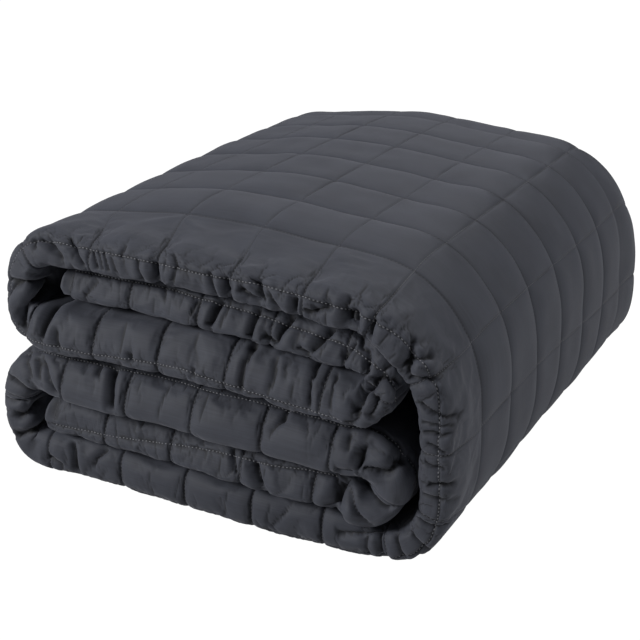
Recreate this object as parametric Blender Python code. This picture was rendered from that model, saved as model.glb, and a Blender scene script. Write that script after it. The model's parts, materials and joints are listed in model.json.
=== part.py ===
"""A quilted weighted blanket, folded into a bundle of six padded layers.

The blanket is one piece of quilted cloth. Its width is folded to about 38 cm, and the
long padded strip that this leaves is turned in from both ends and folded over, so its
long edge shows one unbroken line: layer two, a fold, layer three, a fold, the top, the
right side, the underside, a fold, layer four, a fold, layer five.

The strip's midline is drawn in the XZ plane from a table with a row for each layer and
each fold. It is swept along Y, and given a padded thickness that thins at every quilting
seam and closes round its free edges. Units are metres, with Z up. The bundle stands on
z = 0, centred on the Z axis, and its long edge faces -Y.
"""
import math
from collections import namedtuple

import bpy
import numpy as np

MM = 0.001

# Overall sizes
DEPTH = 379 * MM            # front edge to back edge
EDGE_TO_FIRST_SEAM = 52 * MM
SEAM_PITCH_DEEP = 46 * MM   # spacing of the seams that run left to right
SEAM_PITCH_ALONG = 48 * MM  # spacing of the others, past the last one in the table
CROSS_SEAMS = 7

# Relief of the quilting, as a share of the half thickness
SEAM_DIP = 0.17
FRONT_DIP = 0.34            # the rounded front and back edges are drawn in harder
SQUEEZE = 0.78              # of its radius: how thick padding can be inside a tight fold

# Crown: how the bundle's height changes with depth, as a share of the front's height
CROWN_FULL = 80 * MM        # how far back the crown reaches its full height
CROWN_LEFT = -0.07
CROWN_MIDDLE = 0.073
CROWN_RIGHT = 0.06
BACK_SAG = -0.048
BACK_SAG_START = 205 * MM
BACK_ROUNDING = -0.070
BACK_ROUNDING_START = 338 * MM
LEFT_SPREAD = 3 * MM
BACK_TAPER = 9 * MM        # how far the top of the right side turns in at the back

# The front edges of the layers lie unevenly; this evens out over the first squares
FRONT_FADE = 90 * MM

# Mesh fineness
HIDDEN_CELLS = (0.0, 0.5)               # places in a quilt square: 0 is its seam
FACE_CELLS = (0.0, 0.2, 0.8)
FOLD_CELLS = (0.0, 0.2, 0.5, 0.8)
FOLDED_ANGLE = math.radians(35)         # a square that turns more than this has more columns
FACE_SQUARES = (12, 21)                 # the squares on the top and the right side
END_GAP = 0.25              # of a square, between a free end's rounding and the next column
END_SQUARE = 3.0            # how blunt a free end is: 2 is round, more is squarer
FRONT_SQUARE = 2.7          # the same, for the front edge
FRONT_STEPS = 3             # rows that round off a free edge
BACK_STEPS = 2
PATH_STEPS = 60             # midline samples in each table row
ON_SEAM = 0.02              # of a square: a column this near to a seam is on it
LEVEL = 9 * MM              # how far a layer's midline strays from its middle height

# One row of the mesh, from front to back: its share of the edge's rounding (negative at the
# back), its distance from the front, how far the padding is open there, whether a cross
# seam runs along it, and how deep its seams are.
Row = namedtuple("Row", "rounding place opening cross_seam dip")

# Each layer: x where it starts and ends, height of its midline at the start, middle and
# end, thickness, how far its front edge lies back (+) or forward (-), how much its front
# face slopes back for each mm of height, and the places of its seams, from the first
# seam's number on. All in mm, with x from the left side.
Run = namedtuple("Run", "name x_start x_end z_start z_middle z_end thick front slope first_seam seams")
# Each fold: how far it reaches past the layers' ends, how square its outline is in its first
# and second half (1 is round, less is squarer), how much it bulges before it turns, and its
# thickness.
Fold = namedtuple("Fold", "name reach square_in square_out bulge thick")

STRIP = (
    Run("layer two", 50, 254, 137.6, 138.4, 134.0, 21.2, 7, 0.50, 0, (56, 101, 151, 200, 248)),
    Fold("upper right fold", 17, 1.0, 1.0, 0.20, 20),
    Run("layer three", 254, 46, 109.0, 111.4, 108.4, 29.8, -3, 0.55, 6, (238, 175, 127, 81)),
    Fold("upper left fold", 27.5, 0.58, 0.95, 0.10, 23),
    Run("top", 52, 242, 159.6, 162.2, 160.0, 20.0, 0, 0.20, 12, (79, 127, 176, 223)),
    Fold("right side", 58, 0.90, 0.63, 0.0, 20),
    Run("underside", 252, 50, 15.2, 15.2, 15.2, 30.4, 4, 0.0, 21, (234, 187, 139, 90)),
    Fold("lower left fold", 37, 0.34, 0.85, 0.10, 25),
    Run("layer four", 46, 256, 75.5, 76.0, 76.0, 31.0, -5, 0.40, 27, (55, 104, 151, 199, 245)),
    Fold("lower right fold", 22, 1.0, 1.0, 0.40, 24),
    Run("layer five", 256, 34, 44.3, 45.2, 45.0, 25.0, 2, 0.40, 33, (230, 181, 130, 81, 42)),
)
BUNDLE_WIDTH = 313 * MM
FRONT_HEIGHT = 173 * MM

# Seams fan out on the top and the right side: the hem is gathered, the cloth behind isn't
FAN_CENTRE = 16.0
FAN_FIRST = 10.0
FAN_LAST = 20.0
FAN_FADE_IN = 5.0           # squares over which the fan begins
FAN_FADE_OUT = 3.0
FAN_STRETCH = 3.2 * MM      # for each square away from the centre

# Seams that run aslant: the seam numbers where the drift along the strip begins, is greatest
# and ends, its greatest amount, and the depths between which it grows (mm).
Drift = namedtuple("Drift", "name begins greatest ends amount y_start y_end")

DRIFTS = (
    Drift("top, leftmost seam", 9.0, 12.0, 14.0, 13, 110, 270),
    Drift("right side, middle seam", 16.5, 18.0, 20.0, 10, 120, 330),
)

UNDERSIDE_SEAMS = (20.4, 25.0)   # the stretch of the strip that bears on the ground
UNDERSIDE_FADE = 0.6
UNDERSIDE_PRESS = 2.0 * MM       # how much its weight presses the underside flat

BLANKET = dict(name="charcoal_quilted_cloth", colour=(0.060, 0.062, 0.070, 1.0), roughness=0.88)


def smoothstep(value, low, high):
    share = np.clip((value - low) / (high - low), 0.0, 1.0)
    return share * share * (3.0 - 2.0 * share)


def run_points(run):
    """The midline of one layer: a shallow arc through its three heights."""
    share = np.linspace(0.0, 1.0, PATH_STEPS)
    x = run.x_start + (run.x_end - run.x_start) * share
    straight = run.z_start + (run.z_end - run.z_start) * share
    lift = run.z_middle - 0.5 * (run.z_start + run.z_end)
    return x, straight + lift * np.sin(math.pi * share) ** 2


def fold_points(fold, before, after):
    """The midline of one fold: half a rounded box from one layer's end to the next's start."""
    turn = np.linspace(0.0, math.pi, PATH_STEPS + 2)[1:-1]
    out = math.copysign(1.0, before.x_end - before.x_start)
    across = 0.5 * (1.0 - np.cos(turn))
    x = before.x_end + (after.x_start - before.x_end) * across
    square = np.where(turn < 0.5 * math.pi, fold.square_in, fold.square_out)
    x = x + out * fold.reach * np.sin(turn) ** square
    middle = 0.5 * (before.z_end + after.z_start)
    half = 0.5 * (before.z_end - after.z_start)
    side = np.cos(turn)
    rise = np.sign(side) * np.abs(side) ** square
    bulge = 1.0 + fold.bulge * np.sin(turn) * np.abs(side)
    return x, middle + half * rise * bulge


def ease(values, width):
    """Running mean, so that thickness and edges change gently along the strip."""
    padded = np.pad(values, width, mode="edge")
    kernel = np.ones(2 * width + 1) / (2 * width + 1)
    return np.convolve(padded, kernel, mode="valid")


class Midline:
    """The strip's midline, and what varies along it, by distance from its first free end."""

    SAMPLES = 2400
    EASE = 18

    def __init__(self, strip):
        xs, zs, thick, front, slope = [], [], [], [], []
        for index, row in enumerate(strip):
            if isinstance(row, Run):
                x, z = run_points(row)
                lean = np.full(len(x), row.front)
                tilt = np.full(len(x), row.slope)
            else:
                before, after = strip[index - 1], strip[index + 1]
                x, z = fold_points(row, before, after)
                lean = np.linspace(before.front, after.front, len(x))
                tilt = np.linspace(before.slope, after.slope, len(x))
            xs.append(x)
            zs.append(z)
            thick.append(np.full(len(x), row.thick))
            front.append(lean)
            slope.append(tilt)
        x, z = np.concatenate(xs) * MM, np.concatenate(zs) * MM
        travelled = np.concatenate([[0.0], np.cumsum(np.hypot(np.diff(x), np.diff(z)))])
        self.length = travelled[-1]
        self.at = np.linspace(0.0, self.length, self.SAMPLES)
        self.x = ease(np.interp(self.at, travelled, x), self.EASE // 3)
        self.z = ease(np.interp(self.at, travelled, z), self.EASE // 3)
        self.thick = ease(np.interp(self.at, travelled, np.concatenate(thick) * MM), self.EASE)
        self.front = ease(np.interp(self.at, travelled, np.concatenate(front) * MM), self.EASE)
        self.slope = ease(np.interp(self.at, travelled, np.concatenate(slope)), self.EASE)
        self.find_turning()
        self.place_seams(strip)

    def find_turning(self):
        """Normals to the outer side of the cloth, and the radius of every bend."""
        dx, dz = np.gradient(self.x, self.at), np.gradient(self.z, self.at)
        size = np.hypot(dx, dz)
        self.normal_x, self.normal_z = -dz / size, dx / size
        heading = np.unwrap(np.arctan2(dz, dx))
        self.heading = heading
        self.bend = ease(np.gradient(heading, self.at), self.EASE // 2)

    def place_seams(self, strip):
        """Match seam numbers to distances along the strip."""
        numbers, distances = [], []
        for row in strip:
            if not isinstance(row, Run):
                continue
            level = np.abs(self.z - row.z_middle * MM) < LEVEL
            for step, seam_x in enumerate(row.seams):
                miss = np.where(level, np.abs(self.x - seam_x * MM), np.inf)
                numbers.append(row.first_seam + step)
                distances.append(self.at[int(np.argmin(miss))])
        self.seam_numbers = np.array(numbers, float)
        self.seam_distances = np.array(distances)
        self.first_number = self.number_at(0.0)
        self.last_number = self.number_at(self.length)

    def number_at(self, distance):
        """Seam number at a distance, carried on past the first and last seams."""
        first, last = self.seam_distances[[0, -1]]
        number = np.interp(distance, self.seam_distances, self.seam_numbers)
        before = np.maximum(first - distance, 0.0) / SEAM_PITCH_ALONG
        after = np.maximum(distance - last, 0.0) / SEAM_PITCH_ALONG
        return number - before + after

    def distance_at(self, number):
        distances = np.concatenate([[0.0], self.seam_distances, [self.length]])
        numbers = np.concatenate([[self.first_number], self.seam_numbers, [self.last_number]])
        return np.interp(number, numbers, distances)

    def along(self, name, distance):
        return np.interp(distance, self.at, getattr(self, name))


def station_numbers(midline):
    """Seam numbers of the mesh's columns: closer together where the strip turns."""
    edge = midline.along("thick", 0.0) * 0.5
    first = midline.number_at(edge)
    last = midline.number_at(midline.length - edge)
    numbers = []
    for square in range(0, int(math.ceil(last))):
        ends = midline.distance_at(np.array([square, square + 1.0]))
        headings = midline.along("heading", ends)
        folded = abs(headings[1] - headings[0]) > FOLDED_ANGLE
        on_face = FACE_SQUARES[0] <= square < FACE_SQUARES[1]
        cells = FACE_CELLS if on_face else (FOLD_CELLS if folded else HIDDEN_CELLS)
        numbers.extend(square + place for place in cells)
    inner = [number for number in numbers if first + END_GAP < number < last - END_GAP]
    turns = edge_turns(FRONT_STEPS)
    head = [midline.number_at(edge * (1.0 - math.cos(turn))) for turn in turns]
    tail = [midline.number_at(midline.length - edge * (1.0 - math.cos(turn))) for turn in turns]
    return np.array(head + inner + tail[::-1])


def edge_turns(steps):
    """Angles of the rows that round off a free edge, from its rim to its full thickness."""
    return [math.pi / 2 * step / steps for step in range(steps + 1)]


def end_closing(midline, numbers):
    """How far the padding is closed, from 0 at a free end to 1 away from it."""
    edge = midline.along("thick", 0.0) * 0.5
    distance = midline.distance_at(numbers)
    nearest = np.minimum(distance, midline.length - distance)
    share = np.clip(1.0 - nearest / edge, 0.0, 1.0)
    return (1.0 - share ** END_SQUARE) ** (1.0 / END_SQUARE)


def depth_rows():
    """All rows of the mesh, front to back."""
    rows = []
    for turn in edge_turns(FRONT_STEPS):
        back, out = (value ** (2.0 / FRONT_SQUARE) for value in (math.cos(turn), math.sin(turn)))
        rows.append(Row(1.0 - back, 0.0, out, 0.0, FRONT_DIP))
    rows.append(Row(1.0, 0.5 * EDGE_TO_FIRST_SEAM, 1.0, 0.0, SEAM_DIP))
    last_seam = CROSS_SEAMS - 1
    for seam in range(CROSS_SEAMS):
        for share in FACE_CELLS if seam < last_seam else FACE_CELLS[:1]:
            place = EDGE_TO_FIRST_SEAM + (seam + share) * SEAM_PITCH_DEEP
            rows.append(Row(0.0, place, 1.0, 1.0 if share == 0.0 else 0.0, SEAM_DIP))
    middle_of_last = 0.5 * (EDGE_TO_FIRST_SEAM + last_seam * SEAM_PITCH_DEEP + DEPTH)
    rows.append(Row(0.0, middle_of_last, 1.0, 0.0, SEAM_DIP))
    for turn in reversed(edge_turns(BACK_STEPS)):
        rows.append(Row(math.cos(turn) - 1.0, DEPTH, math.sin(turn), 0.0, FRONT_DIP))
    return rows


def crown(x, y):
    """Height of the bundle at a place, as a multiple of its height at the front edge."""
    across = np.clip(x / BUNDLE_WIDTH, 0.0, 1.0)
    middle = 1.0 - (2.0 * across - 1.0) ** 2
    sides = CROWN_LEFT + (CROWN_RIGHT - CROWN_LEFT) * across
    rise = sides * (1.0 - middle) + CROWN_MIDDLE * middle
    share = smoothstep(y, 0.0, CROWN_FULL)
    back = np.clip((y - BACK_SAG_START) / (DEPTH - BACK_SAG_START), 0.0, 1.0)
    edge = np.clip((y - BACK_ROUNDING_START) / (DEPTH - BACK_ROUNDING_START), 0.0, 1.0)
    return 1.0 + share * rise + BACK_SAG * back ** 2 + BACK_ROUNDING * edge ** 2


def spread(x, y, z):
    """How far a point moves to the left: the left side swells, the right side tapers."""
    across = np.clip(x / BUNDLE_WIDTH, 0.0, 1.0)
    taper = np.clip((y - BACK_SAG_START) / (DEPTH - BACK_SAG_START), 0.0, 1.0) ** 2
    swell = LEFT_SPREAD * smoothstep(y, 0.0, CROWN_FULL) * (1.0 - across)
    return swell + BACK_TAPER * taper * across * z / FRONT_HEIGHT


def fan(numbers, y):
    """Shift of the seams along the strip behind the gathered hem."""
    stretch = FAN_STRETCH * (np.clip(numbers, FAN_FIRST, FAN_LAST) - FAN_CENTRE)
    stretch = stretch * smoothstep(numbers, FAN_FIRST - FAN_FADE_IN, FAN_FIRST)
    stretch = stretch * (1.0 - smoothstep(numbers, FAN_LAST, FAN_LAST + FAN_FADE_OUT))
    shift = stretch * smoothstep(y, 0.0, EDGE_TO_FIRST_SEAM)
    for drift in DRIFTS:
        near = smoothstep(numbers, drift.begins, drift.greatest)
        near = near * (1.0 - smoothstep(numbers, drift.greatest, drift.ends))
        shift = shift + near * drift.amount * MM * smoothstep(y, drift.y_start * MM, drift.y_end * MM)
    return shift


def bears_on_ground(numbers):
    """1 where the strip lies on the ground, 0 away from there."""
    first, last = UNDERSIDE_SEAMS
    begins = smoothstep(numbers, first - UNDERSIDE_FADE, first)
    return begins * (1.0 - smoothstep(numbers, last, last + UNDERSIDE_FADE))


def padded_row(midline, numbers, row, closing, seam_share):
    """Points on both faces of the cloth for one row of the mesh."""
    base = midline.distance_at(numbers)
    half = 0.5 * midline.along("thick", base)
    y = row.place + row.rounding * half
    distance = np.clip(base + fan(numbers, y), 0.0, midline.length)
    near_front = 1.0 - smoothstep(y, 0.0, FRONT_FADE)
    y = y + midline.along("front", distance) * near_front
    dip = row.dip * np.maximum(seam_share, row.cross_seam)
    half = half * closing * row.opening
    bend = midline.along("bend", distance)
    radius = 1.0 / np.maximum(np.abs(bend), 1.0)
    inside_fold = np.minimum(half, SQUEEZE * radius)
    bears = bears_on_ground(numbers)
    outer = np.where(bend > 0.0, inside_fold, half) * (1.0 - dip * (1.0 - bears))
    outer = outer + UNDERSIDE_PRESS * bears * (row.opening == 1.0)
    inner = np.where(bend < 0.0, inside_fold, half) * (1.0 - dip)
    x, z = midline.along("x", distance), midline.along("z", distance)
    nx, nz = midline.along("normal_x", distance), midline.along("normal_z", distance)
    faces = []
    for side in (outer, -inner):
        px, pz = x + nx * side, np.maximum(z + nz * side, 0.0)
        py = y + midline.along("slope", distance) * nz * side * near_front
        faces.append(np.stack([px - spread(px, py, pz), py, pz * crown(px, py)], axis=1))
    return faces


def quilted_strip():
    """Vertices and faces of the whole folded cloth: two skins that share one border."""
    midline = Midline(STRIP)
    numbers = station_numbers(midline)
    closing = end_closing(midline, numbers)
    seam_share = np.where(np.abs(numbers - np.round(numbers)) < ON_SEAM, 1.0, 0.0)
    rows = depth_rows()
    outer, inner = [], []
    for row in rows:
        faces = padded_row(midline, numbers, row, closing, seam_share)
        outer.append(faces[0])
        inner.append(faces[1])
    outer, inner = np.array(outer), np.array(inner)
    last_row, last_column = len(rows) - 1, len(numbers) - 1
    vertices, outer_index, inner_index = [], {}, {}
    for row in range(last_row + 1):
        for column in range(last_column + 1):
            border = row in (0, last_row) or column in (0, last_column)
            outer_index[row, column] = len(vertices)
            vertices.append(outer[row, column])
            if border:
                inner_index[row, column] = outer_index[row, column]
            else:
                inner_index[row, column] = len(vertices)
                vertices.append(inner[row, column])
    faces = []
    for row in range(last_row):
        for column in range(last_column):
            corners = ((row, column), (row, column + 1), (row + 1, column + 1), (row + 1, column))
            faces.append([outer_index[corner] for corner in corners])
            faces.append([inner_index[corner] for corner in reversed(corners)])
    return np.array(vertices), faces


def centred(vertices):
    """Stand the bundle on z = 0 with its box centred on the Z axis."""
    low, high = vertices.min(axis=0), vertices.max(axis=0)
    shift = np.array([0.5 * (low[0] + high[0]), 0.5 * (low[1] + high[1]), low[2]])
    return vertices - shift


def cloth_material():
    material = bpy.data.materials.new(BLANKET["name"])
    material.use_nodes = True
    shader = material.node_tree.nodes["Principled BSDF"]
    shader.inputs["Base Color"].default_value = BLANKET["colour"]
    shader.inputs["Roughness"].default_value = BLANKET["roughness"]
    shader.inputs["Metallic"].default_value = 0.0
    return material


def add_blanket(collection):
    vertices, faces = quilted_strip()
    mesh = bpy.data.meshes.new("weighted_blanket")
    mesh.from_pydata(centred(vertices).tolist(), [], faces)
    mesh.validate()
    mesh.materials.append(cloth_material())
    mesh.shade_smooth()
    blanket = bpy.data.objects.new("weighted_blanket", mesh)
    collection.objects.link(blanket)
    return blanket


def main():
    for old in list(bpy.context.scene.objects):
        bpy.data.objects.remove(old, do_unlink=True)
    collection = bpy.data.collections.new("weighted_blanket")
    bpy.context.scene.collection.children.link(collection)
    add_blanket(collection)


main()
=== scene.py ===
# %% [markdown]
# # A folded weighted blanket
#
# A weighted blanket is a heavy quilt: two cover cloths with small weights and wadding between
# them, sewn into squares so that the filling stays put. Here it lies folded into a thick
# bundle. Its long edge faces us and shows six padded layers, which are one unbroken strip that
# turns back and forth. The blanket is one piece of cloth, so it is one mesh, drawn as a padded
# strip that follows a folded path. The stitches are small shapes placed along its seams.
#
# We load the plain CAD solid first; it is hidden once the cloth is made.

# %% Load the frame
import json
import math
from collections import namedtuple

import bmesh
import bpy
import numpy as np
from mathutils import Matrix, Vector

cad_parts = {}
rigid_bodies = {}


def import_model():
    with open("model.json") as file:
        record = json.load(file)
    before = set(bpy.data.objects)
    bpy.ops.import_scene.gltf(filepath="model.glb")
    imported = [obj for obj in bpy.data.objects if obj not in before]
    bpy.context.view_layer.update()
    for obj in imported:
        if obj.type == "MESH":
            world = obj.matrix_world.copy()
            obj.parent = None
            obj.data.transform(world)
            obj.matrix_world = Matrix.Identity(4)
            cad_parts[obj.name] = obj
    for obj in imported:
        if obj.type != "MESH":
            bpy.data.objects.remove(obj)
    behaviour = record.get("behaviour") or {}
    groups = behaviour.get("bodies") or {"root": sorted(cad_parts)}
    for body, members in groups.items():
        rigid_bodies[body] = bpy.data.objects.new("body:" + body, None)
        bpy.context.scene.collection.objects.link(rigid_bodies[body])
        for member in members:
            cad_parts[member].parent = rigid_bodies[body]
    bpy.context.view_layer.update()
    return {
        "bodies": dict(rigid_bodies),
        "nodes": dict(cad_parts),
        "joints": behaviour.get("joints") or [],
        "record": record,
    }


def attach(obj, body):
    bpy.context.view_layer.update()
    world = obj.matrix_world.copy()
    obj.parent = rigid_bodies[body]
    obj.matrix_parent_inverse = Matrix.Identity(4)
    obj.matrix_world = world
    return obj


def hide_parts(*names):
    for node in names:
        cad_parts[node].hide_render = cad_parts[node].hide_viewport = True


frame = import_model()

# %% [markdown]
# ## The folded path
#
# Seen from the front, the strip starts at a free end, runs right as layer two, turns back as
# layer three, turns up and over as the top, comes down the right side, goes back underneath,
# and then folds in again as layers four and five. A table holds one row for each layer and one
# for each fold, in millimetres, with x from the left side. Runs name their quilting seams by
# number, so everything sewn on the cloth can be placed by seam number later on.

# %% Table of layers and folds
MM = 0.001

Run = namedtuple("Run", "name x_start x_end z_start z_middle z_end thick front slope first_seam seams")
Fold = namedtuple("Fold", "name reach square_in square_out bulge thick")

STRIP = (
    Run("layer two", 50, 254, 137.6, 138.4, 134.0, 21.2, 7, 0.50, 0, (56, 101, 151, 200, 248)),
    Fold("upper right fold", 17, 1.0, 1.0, 0.20, 20),
    Run("layer three", 254, 46, 109.0, 111.4, 108.4, 29.8, -3, 0.55, 6, (238, 175, 127, 81)),
    Fold("upper left fold", 27.5, 0.58, 0.95, 0.10, 23),
    Run("top", 52, 242, 159.6, 162.2, 160.0, 20.0, 0, 0.20, 12, (79, 127, 176, 223)),
    Fold("right side", 58, 0.90, 0.63, 0.0, 20),
    Run("underside", 252, 50, 15.2, 15.2, 15.2, 30.4, 4, 0.0, 21, (234, 187, 139, 90)),
    Fold("lower left fold", 37, 0.34, 0.85, 0.10, 25),
    Run("layer four", 46, 256, 75.5, 76.0, 76.0, 31.0, -5, 0.40, 27, (55, 104, 151, 199, 245)),
    Fold("lower right fold", 22, 1.0, 1.0, 0.40, 24),
    Run("layer five", 256, 34, 44.3, 45.2, 45.0, 25.0, 2, 0.40, 33, (230, 181, 130, 81, 42)),
)
BUNDLE_WIDTH = 313 * MM
FRONT_HEIGHT = 173 * MM
BOX_CENTRE = (155.4 * MM, 185.9 * MM)   # of the bundle, from its left side and front edge
PATH_STEPS = 60
LEVEL = 9 * MM
SEAM_PITCH_ALONG = 48 * MM


def smoothstep(value, low, high):
    share = np.clip((value - low) / (high - low), 0.0, 1.0)
    return share * share * (3.0 - 2.0 * share)


def run_points(run):
    share = np.linspace(0.0, 1.0, PATH_STEPS)
    x = run.x_start + (run.x_end - run.x_start) * share
    straight = run.z_start + (run.z_end - run.z_start) * share
    lift = run.z_middle - 0.5 * (run.z_start + run.z_end)
    return x, straight + lift * np.sin(math.pi * share) ** 2


def fold_points(fold, before, after):
    """Half a rounded box from one layer's end to the next one's start."""
    turn = np.linspace(0.0, math.pi, PATH_STEPS + 2)[1:-1]
    out = math.copysign(1.0, before.x_end - before.x_start)
    across = 0.5 * (1.0 - np.cos(turn))
    x = before.x_end + (after.x_start - before.x_end) * across
    square = np.where(turn < 0.5 * math.pi, fold.square_in, fold.square_out)
    x = x + out * fold.reach * np.sin(turn) ** square
    middle = 0.5 * (before.z_end + after.z_start)
    half = 0.5 * (before.z_end - after.z_start)
    side = np.cos(turn)
    bulge = 1.0 + fold.bulge * np.sin(turn) * np.abs(side)
    return x, middle + half * np.sign(side) * np.abs(side) ** square * bulge


def ease(values, width):
    padded = np.pad(values, width, mode="edge")
    return np.convolve(padded, np.ones(2 * width + 1) / (2 * width + 1), mode="valid")


class Midline:
    """The strip's midline, and what varies along it, by distance from its first free end."""

    SAMPLES = 2400
    EASE = 18

    def __init__(self, strip):
        parts = []
        for index, row in enumerate(strip):
            if isinstance(row, Run):
                x, z = run_points(row)
                front, slope = row.front, row.slope
            else:
                before, after = strip[index - 1], strip[index + 1]
                x, z = fold_points(row, before, after)
                front = np.linspace(before.front, after.front, len(x))
                slope = np.linspace(before.slope, after.slope, len(x))
            parts.append(np.stack(np.broadcast_arrays(x, z, row.thick, front, slope)))
        x, z, thick, front, slope = np.concatenate(parts, axis=1)
        x, z = x * MM, z * MM
        travelled = np.concatenate([[0.0], np.cumsum(np.hypot(np.diff(x), np.diff(z)))])
        self.length = travelled[-1]
        self.at = np.linspace(0.0, self.length, self.SAMPLES)
        self.x, self.z = (ease(np.interp(self.at, travelled, line), self.EASE // 3) for line in (x, z))
        self.thick, self.front, self.slope = (ease(np.interp(self.at, travelled, line), self.EASE)
                                              for line in (thick * MM, front * MM, slope))
        dx, dz = np.gradient(self.x, self.at), np.gradient(self.z, self.at)
        size = np.hypot(dx, dz)
        self.normal_x, self.normal_z = -dz / size, dx / size
        self.bend = ease(np.gradient(np.unwrap(np.arctan2(dz, dx)), self.at), self.EASE // 2)
        self.place_seams(strip)

    def place_seams(self, strip):
        numbers, distances = [], []
        for row in strip:
            if isinstance(row, Fold):
                continue
            level = np.abs(self.z - row.z_middle * MM) < LEVEL
            for step, seam_x in enumerate(row.seams):
                miss = np.where(level, np.abs(self.x - seam_x * MM), np.inf)
                numbers.append(row.first_seam + step)
                distances.append(self.at[int(np.argmin(miss))])
        first = numbers[0] - distances[0] / SEAM_PITCH_ALONG
        last = numbers[-1] + (self.length - distances[-1]) / SEAM_PITCH_ALONG
        self.seam_numbers = np.array([first] + numbers + [last])
        self.seam_distances = np.array([0.0] + distances + [self.length])

    def number_at(self, distance):
        return np.interp(distance, self.seam_distances, self.seam_numbers)

    def distance_at(self, number):
        return np.interp(number, self.seam_numbers, self.seam_distances)

    def along(self, name, distance):
        return np.interp(distance, self.at, getattr(self, name))


midline = Midline(STRIP)
print(f"The strip is {midline.length:.3f} m long, with seams {midline.seam_numbers[1]:.0f} "
      f"to {midline.seam_numbers[-2]:.0f}")

# %% [markdown]
# ## The grid of the cloth
#
# The cloth is a grid wrapped round the strip: across it the rows go from the back edge over the
# outer face, round the front edge and back along the inner face, and the columns go along the
# strip. Rows and columns crowd together where something small shows, at the front edge and near
# the seams. Columns are spaced by seam number, so every seam runs along a column.

# %% Rows and columns
DEPTH = 379 * MM
EDGE_TO_FIRST_SEAM = 52 * MM
SEAM_PITCH_DEEP = 46 * MM
CROSS_SEAMS = 7
BLOCK = 4                   # the hidden parts of the grid are drawn in blocks of 4 x 4 cells
CELLS_ALONG = 48            # in a square, along the strip
CELLS_DEEP = 16             # in a square, front to back
EDGE_CELLS = 16             # round a quarter of the front edge
BEHIND_EDGE_CELLS = 24      # from there to the first cross seam
LAST_CELLS = 16             # from the last cross seam to the back edge
BACK_CELLS = 4              # round a quarter of the back edge
SQUARES_ALONG = 37
END_CLEARANCE = 0.04        # of a square, between a pinched end's columns and the next ones
CROWDED_ALONG = 0.35        # how much closer the cells are at a seam than in mid square
CROWDED_DEEP = 0.80
FRONT_SQUARE = 2.7          # how boxy the rolled front edge is: 2 is round, more is squarer

GridRow = namedtuple("GridRow", "rounding place opening")


def crowded(share, crowding):
    return share - crowding * np.sin(2.0 * math.pi * share) / (2.0 * math.pi)


def rows_from_front():
    rows = []
    for step in range(EDGE_CELLS):
        turn = 0.5 * math.pi * step / EDGE_CELLS
        back, out = (value ** (2.0 / FRONT_SQUARE) for value in (math.cos(turn), math.sin(turn)))
        rows.append(GridRow(1.0 - back, 0.0, out))
    for step in range(BEHIND_EDGE_CELLS):
        share = step / BEHIND_EDGE_CELLS
        rows.append(GridRow(1.0 - share, share * EDGE_TO_FIRST_SEAM, 1.0))
    for seam in range(CROSS_SEAMS - 1):
        for step in range(CELLS_DEEP):
            place = EDGE_TO_FIRST_SEAM + (seam + crowded(step / CELLS_DEEP, CROWDED_DEEP)) * SEAM_PITCH_DEEP
            rows.append(GridRow(0.0, place, 1.0))
    last_seam = EDGE_TO_FIRST_SEAM + (CROSS_SEAMS - 1) * SEAM_PITCH_DEEP
    for step in range(LAST_CELLS):
        share = step / LAST_CELLS
        rows.append(GridRow(-share, last_seam + share * (DEPTH - last_seam), 1.0))
    for step in range(BACK_CELLS + 1):
        turn = 0.5 * math.pi * (1.0 - step / BACK_CELLS)
        rows.append(GridRow(math.cos(turn) - 1.0, DEPTH, math.sin(turn)))
    return rows


def column_numbers():
    """Seam numbers of the columns: whole numbers fall on the corners of blocks."""
    edge = 0.5 * midline.along("thick", 0.0)
    turns = [0.5 * math.pi * step / BLOCK for step in range(BLOCK)]
    ends = np.array([edge * (1.0 - math.cos(turn)) for turn in turns])
    head, tail = midline.number_at(ends), midline.number_at(midline.length - ends)
    inner = [square + crowded(step / CELLS_ALONG, CROWDED_ALONG)
             for square in range(SQUARES_ALONG) for step in range(CELLS_ALONG)]
    before = [number for number in inner if head[-1] + END_CLEARANCE < number < 1.0]
    before = before[len(before) % BLOCK:]
    after = [number for number in inner if 1.0 <= number < tail[-1] - END_CLEARANCE]
    while (len(before) + len(after)) % BLOCK != 1:
        after.pop()
    return np.concatenate([head, before, after, tail[::-1]])


front_rows = rows_from_front()
numbers = column_numbers()
side_rows = len(front_rows) - 1
columns = len(numbers) - 1
print(f"{side_rows} rows of cells on each face, {columns} columns")

# %% [markdown]
# ## The bare folded form
#
# The bundle isn't a straight extrusion. It crowns behind the front edge, sags towards the back,
# swells to the left, and its seams fan out on the top because the hem gathers them. Each of
# these is a small function of place. The result is a smooth form with no quilting yet, and the
# distance from the front rim over the cloth, which is positive on the outer face. Seams and
# stitches are placed by that distance.

# %% Crown, spread and slanting seams
CROWN_FULL = 80 * MM        # how far behind the front edge the crown has its full height
CROWN_LEFT, CROWN_MIDDLE, CROWN_RIGHT = -0.07, 0.073, 0.06      # shares of the height
BACK_SAG, BACK_SAG_START = -0.048, 205 * MM
BACK_ROUNDING, BACK_ROUNDING_START = -0.070, 338 * MM
LEFT_SPREAD = 3 * MM
BACK_TAPER = 9 * MM
FRONT_FADE = 90 * MM        # where the front edge's own place and slope have died out
SQUEEZE = 0.78              # the inside of a fold is this share of the bend's radius thick at most
FAN_CENTRE, FAN_FIRST, FAN_LAST = 16.0, 10.0, 20.0              # seam numbers
FAN_FADE_IN, FAN_FADE_OUT = 5.0, 3.0
FAN_STRETCH = 3.2 * MM      # for each seam away from the centre one
END_SQUARE = 3.0            # how blunt a free end is: 2 is round, more is squarer
FRONT_UNEVEN = 1.6 * MM     # how far the front edges wander, and over what length
FRONT_WAVE = 34 * MM
SEED = 7


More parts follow.
